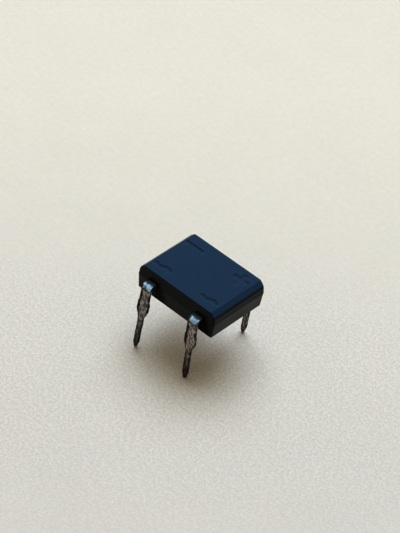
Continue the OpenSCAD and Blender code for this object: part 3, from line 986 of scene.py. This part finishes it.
def paper_material(paper):
    """Pale cream card with a soft tooth and a painted falloff of light across it; it lets a camera
    under the floor look up through it.
    """
    material, n, shader, where = new_material("Cream card")
    tooth = n.group(grain_group(), {"Vector": where, "Grain Size": 0.55, "Swell Size": 6.0,
                                    "Swell": 0.5})["Height"]
    # Millimetres from the middle: a painted falloff of light makes the card palest past 34, and
    # greyest past 14 the other way
    away = n.add("ShaderNodeVectorMath", {0: where, 1: FAR_LEFT},
                 operation="DOT_PRODUCT").outputs["Value"]
    painted_shade_paper = [c * share for c, share in zip(paper, PAINTED_SHADE_SHARE)]
    painted_falloff_tone = n.mix(n.ramp(away, 34.0, -14.0, smooth=False), rgba(paper), rgba(painted_shade_paper))
    # The flecks are strongest near the rectifier, and fade on both sides of it
    flecks = n.ramp(n.noise(where, 4.5, 3.0, 0.65), 0.38, 0.65)
    contrast = n.math("MULTIPLY", n.ramp(away, 14.0, 0.0, 0.02, FLECK_CONTRAST),
                      n.ramp(away, -24.0, -10.0, 0.4, 1.0))
    flecked = n.math("ADD", 1.0, n.math("MULTIPLY", n.math("SUBTRACT", flecks, 0.5), contrast))
    shaded = n.math("MULTIPLY", flecked, n.ramp(tooth, 0.45, 1.05, 0.94, 1.0, smooth=False))
    mottled = n.add("ShaderNodeCombineXYZ", {0: shaded, 1: shaded, 2: shaded}).outputs[0]
    tone = n.add("ShaderNodeVectorMath", {0: painted_falloff_tone, 1: mottled}, operation="MULTIPLY")
    n.put(shader.inputs["Base Color"], tone.outputs[0])
    shader.inputs["Roughness"].default_value = 0.85
    relief(n, shader, tooth, 0.06, 0.6)
    clear = n.add("ShaderNodeBsdfTransparent")
    below = n.add("ShaderNodeNewGeometry").outputs["Backfacing"]
    mixed = n.add("ShaderNodeMixShader", {0: below, 1: shader.outputs[0], 2: clear.outputs[0]})
    output = material.node_tree.nodes["Material Output"]
    n.put(output.inputs["Surface"], mixed.outputs[0])
    return material


def add_floor(p):
    """A floor so wide that no camera near the rectifier sees its edge."""
    reach = 200 * (cad_high.x - cad_low.x)
    bm = bmesh.new()
    bmesh.ops.create_grid(bm, x_segments=1, y_segments=1, size=reach)
    floor = new_object("floor", mesh_from(bm, "floor"))
    floor.data.transform(Matrix.Translation((0, 0, cad_low.z)))
    floor.data.materials.append(paper_material(p.paper))


# The light overhead: the direction it comes from, its distance and side in metres, and its tint
OVERHEAD = Vector((-0.28, 0.40, 1.0)), 2.0, 1.8, (0.93, 1.02, 1.10)

# Colours of the room, and of the sky in front of the rectifier and behind it
ROOM_COLOUR = (1.0, 0.75, 0.40)
SKY_AHEAD, SKY_AHEAD_STRENGTH = (0.70, 0.86, 1.0), 1.2
SKY_BEHIND, SKY_BEHIND_STRENGTH = (0.27, 0.57, 1.0), 3.3
BEYOND_STRENGTH = 0.62  # of the card's colour, past the floor's edge


def add_panel(name, direction, distance, size, tint, radiance):
    """A soft square light, aimed at the rectifier, with the same radiance whatever its size."""
    light = bpy.data.lights.new(name, "AREA")
    light.shape = "SQUARE"
    light.size = size
    light.color = tint
    light.energy = radiance * math.pi * size ** 2
    lamp = bpy.data.objects.new(name, light)
    lamp.location = direction.normalized() * distance
    lamp.rotation_euler = direction.to_track_quat("Z", "Y").to_euler()
    lamp.visible_camera = False
    lamp.visible_glossy = False
    bpy.context.scene.collection.objects.link(lamp)


def add_room(p):
    """The room: warm and dim where it lights the floor, a blue sky where it is reflected."""
    world = bpy.context.scene.world or bpy.data.worlds.new("Room")
    bpy.context.scene.world = world
    world.use_nodes = True
    world.node_tree.nodes.clear()
    n = Nodes(world.node_tree)
    ray = n.add("ShaderNodeLightPath").outputs
    place = n.add("ShaderNodeTexCoord").outputs["Generated"]
    axis = n.add("ShaderNodeSeparateXYZ", {0: place}).outputs
    room = n.add("ShaderNodeBackground", {"Color": rgba(ROOM_COLOUR), "Strength": p.dome})
    # Deep blue behind the rectifier, and pale in front of it and overhead
    behind = n.ramp(axis["Y"], -0.1, 0.45)
    blue = n.mix(behind, rgba(SKY_AHEAD), rgba(SKY_BEHIND))
    strong = n.ramp(behind, 0.0, 1.0, SKY_AHEAD_STRENGTH, SKY_BEHIND_STRENGTH, smooth=False)
    lit = n.math("MULTIPLY", n.ramp(axis["Z"], 0.0, 0.35), n.math("MULTIPLY", strong, p.sky))
    sky = n.add("ShaderNodeBackground", {"Color": blue, "Strength": lit})
    mirrored = n.add("ShaderNodeMixShader", {0: ray["Is Glossy Ray"], 1: room.outputs[0],
                                             2: sky.outputs[0]})
    # Past the floor's edge the camera sees the floor's own tone, so no horizon shows
    beyond = n.add("ShaderNodeBackground", {"Color": rgba(p.paper), "Strength": BEYOND_STRENGTH})
    mixed = n.add("ShaderNodeMixShader", {0: ray["Is Camera Ray"], 1: mirrored.outputs[0],
                                          2: beyond.outputs[0]})
    n.add("ShaderNodeOutputWorld", {"Surface": mixed.outputs[0]})


def add_camera(p):
    """The camera, placed by its angles, its distance and the point it looks at."""
    level = Vector((math.cos(p.azimuth), math.sin(p.azimuth), 0))
    ahead = Vector((-math.sin(p.azimuth) * math.cos(p.elevation),
                    math.cos(p.azimuth) * math.cos(p.elevation), -math.sin(p.elevation)))
    above = level.cross(ahead)
    right = level * math.cos(p.roll) + above * math.sin(p.roll)
    up = above * math.cos(p.roll) - level * math.sin(p.roll)
    body_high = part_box(BODY)[1]
    aim = Vector((0, 0, body_high.z)) + Vector(p.aim)
    data = bpy.data.cameras.new("camera")
    data.lens = p.lens
    data.clip_start, data.clip_end = 0.01, 10
    camera = bpy.data.objects.new("camera", data)
    camera.matrix_world = (Matrix.Translation(aim - ahead * p.distance)
                           @ Matrix((right, up, -ahead)).transposed().to_4x4())
    bpy.context.scene.collection.objects.link(camera)
    bpy.context.scene.camera = camera


class RECTIFIER_OT_stage(Operator):
    """Sets the pale floor, the soft lights and the camera"""
    bl_idname = "rectifier.stage"
    bl_label = "Stage"

    def execute(self, context):
        p = context.scene.rectifier_stage
        add_floor(p)
        add_panel("overhead", *OVERHEAD, p.key)
        add_room(p)
        add_camera(p)
        context.scene.view_settings.view_transform = "Standard"
        context.scene.view_settings.look = "High Contrast"
        return {"FINISHED"}


# ---- Panel and registration ----------------------------------------------------------------


OPERATORS = (RECTIFIER_OT_stage, RECTIFIER_OT_moulding, RECTIFIER_OT_leads,
             RECTIFIER_OT_old_solder, RECTIFIER_OT_dice)
PROPS = {"rectifier_moulding": MouldingProps, "rectifier_leads": LeadProps,
         "rectifier_old_solder": OldSolderProps, "rectifier_stage": StageProps}


class RECTIFIER_PT_finish(Panel):
    """Lists every operator, and the sizes and colours that they use"""
    bl_idname = "RECTIFIER_PT_finish"
    bl_label = "Bridge Rectifier"
    bl_space_type = "VIEW_3D"
    bl_region_type = "UI"
    bl_category = "Rectifier"

    def draw(self, context):
        for operator in OPERATORS:
            self.layout.operator(operator.bl_idname)
        for name, props in PROPS.items():
            box = self.layout.box()
            for key in props.__annotations__:
                box.prop(getattr(context.scene, name), key)


def register():
    for cls in (*PROPS.values(), *OPERATORS, RECTIFIER_PT_finish):
        bpy.utils.register_class(cls)
    for name, props in PROPS.items():
        setattr(bpy.types.Scene, name, PointerProperty(type=props))


def unregister():
    for name in PROPS:
        delattr(bpy.types.Scene, name)
    for cls in (RECTIFIER_PT_finish, *OPERATORS[::-1], *reversed(PROPS.values())):
        bpy.utils.unregister_class(cls)


def main():
    """Registers the tools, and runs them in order."""
    register()
    bpy.ops.rectifier.stage()
    bpy.ops.rectifier.moulding()
    bpy.ops.rectifier.leads()
    bpy.ops.rectifier.old_solder()
    bpy.ops.rectifier.dice()


if __name__ == "__main__":
    main()
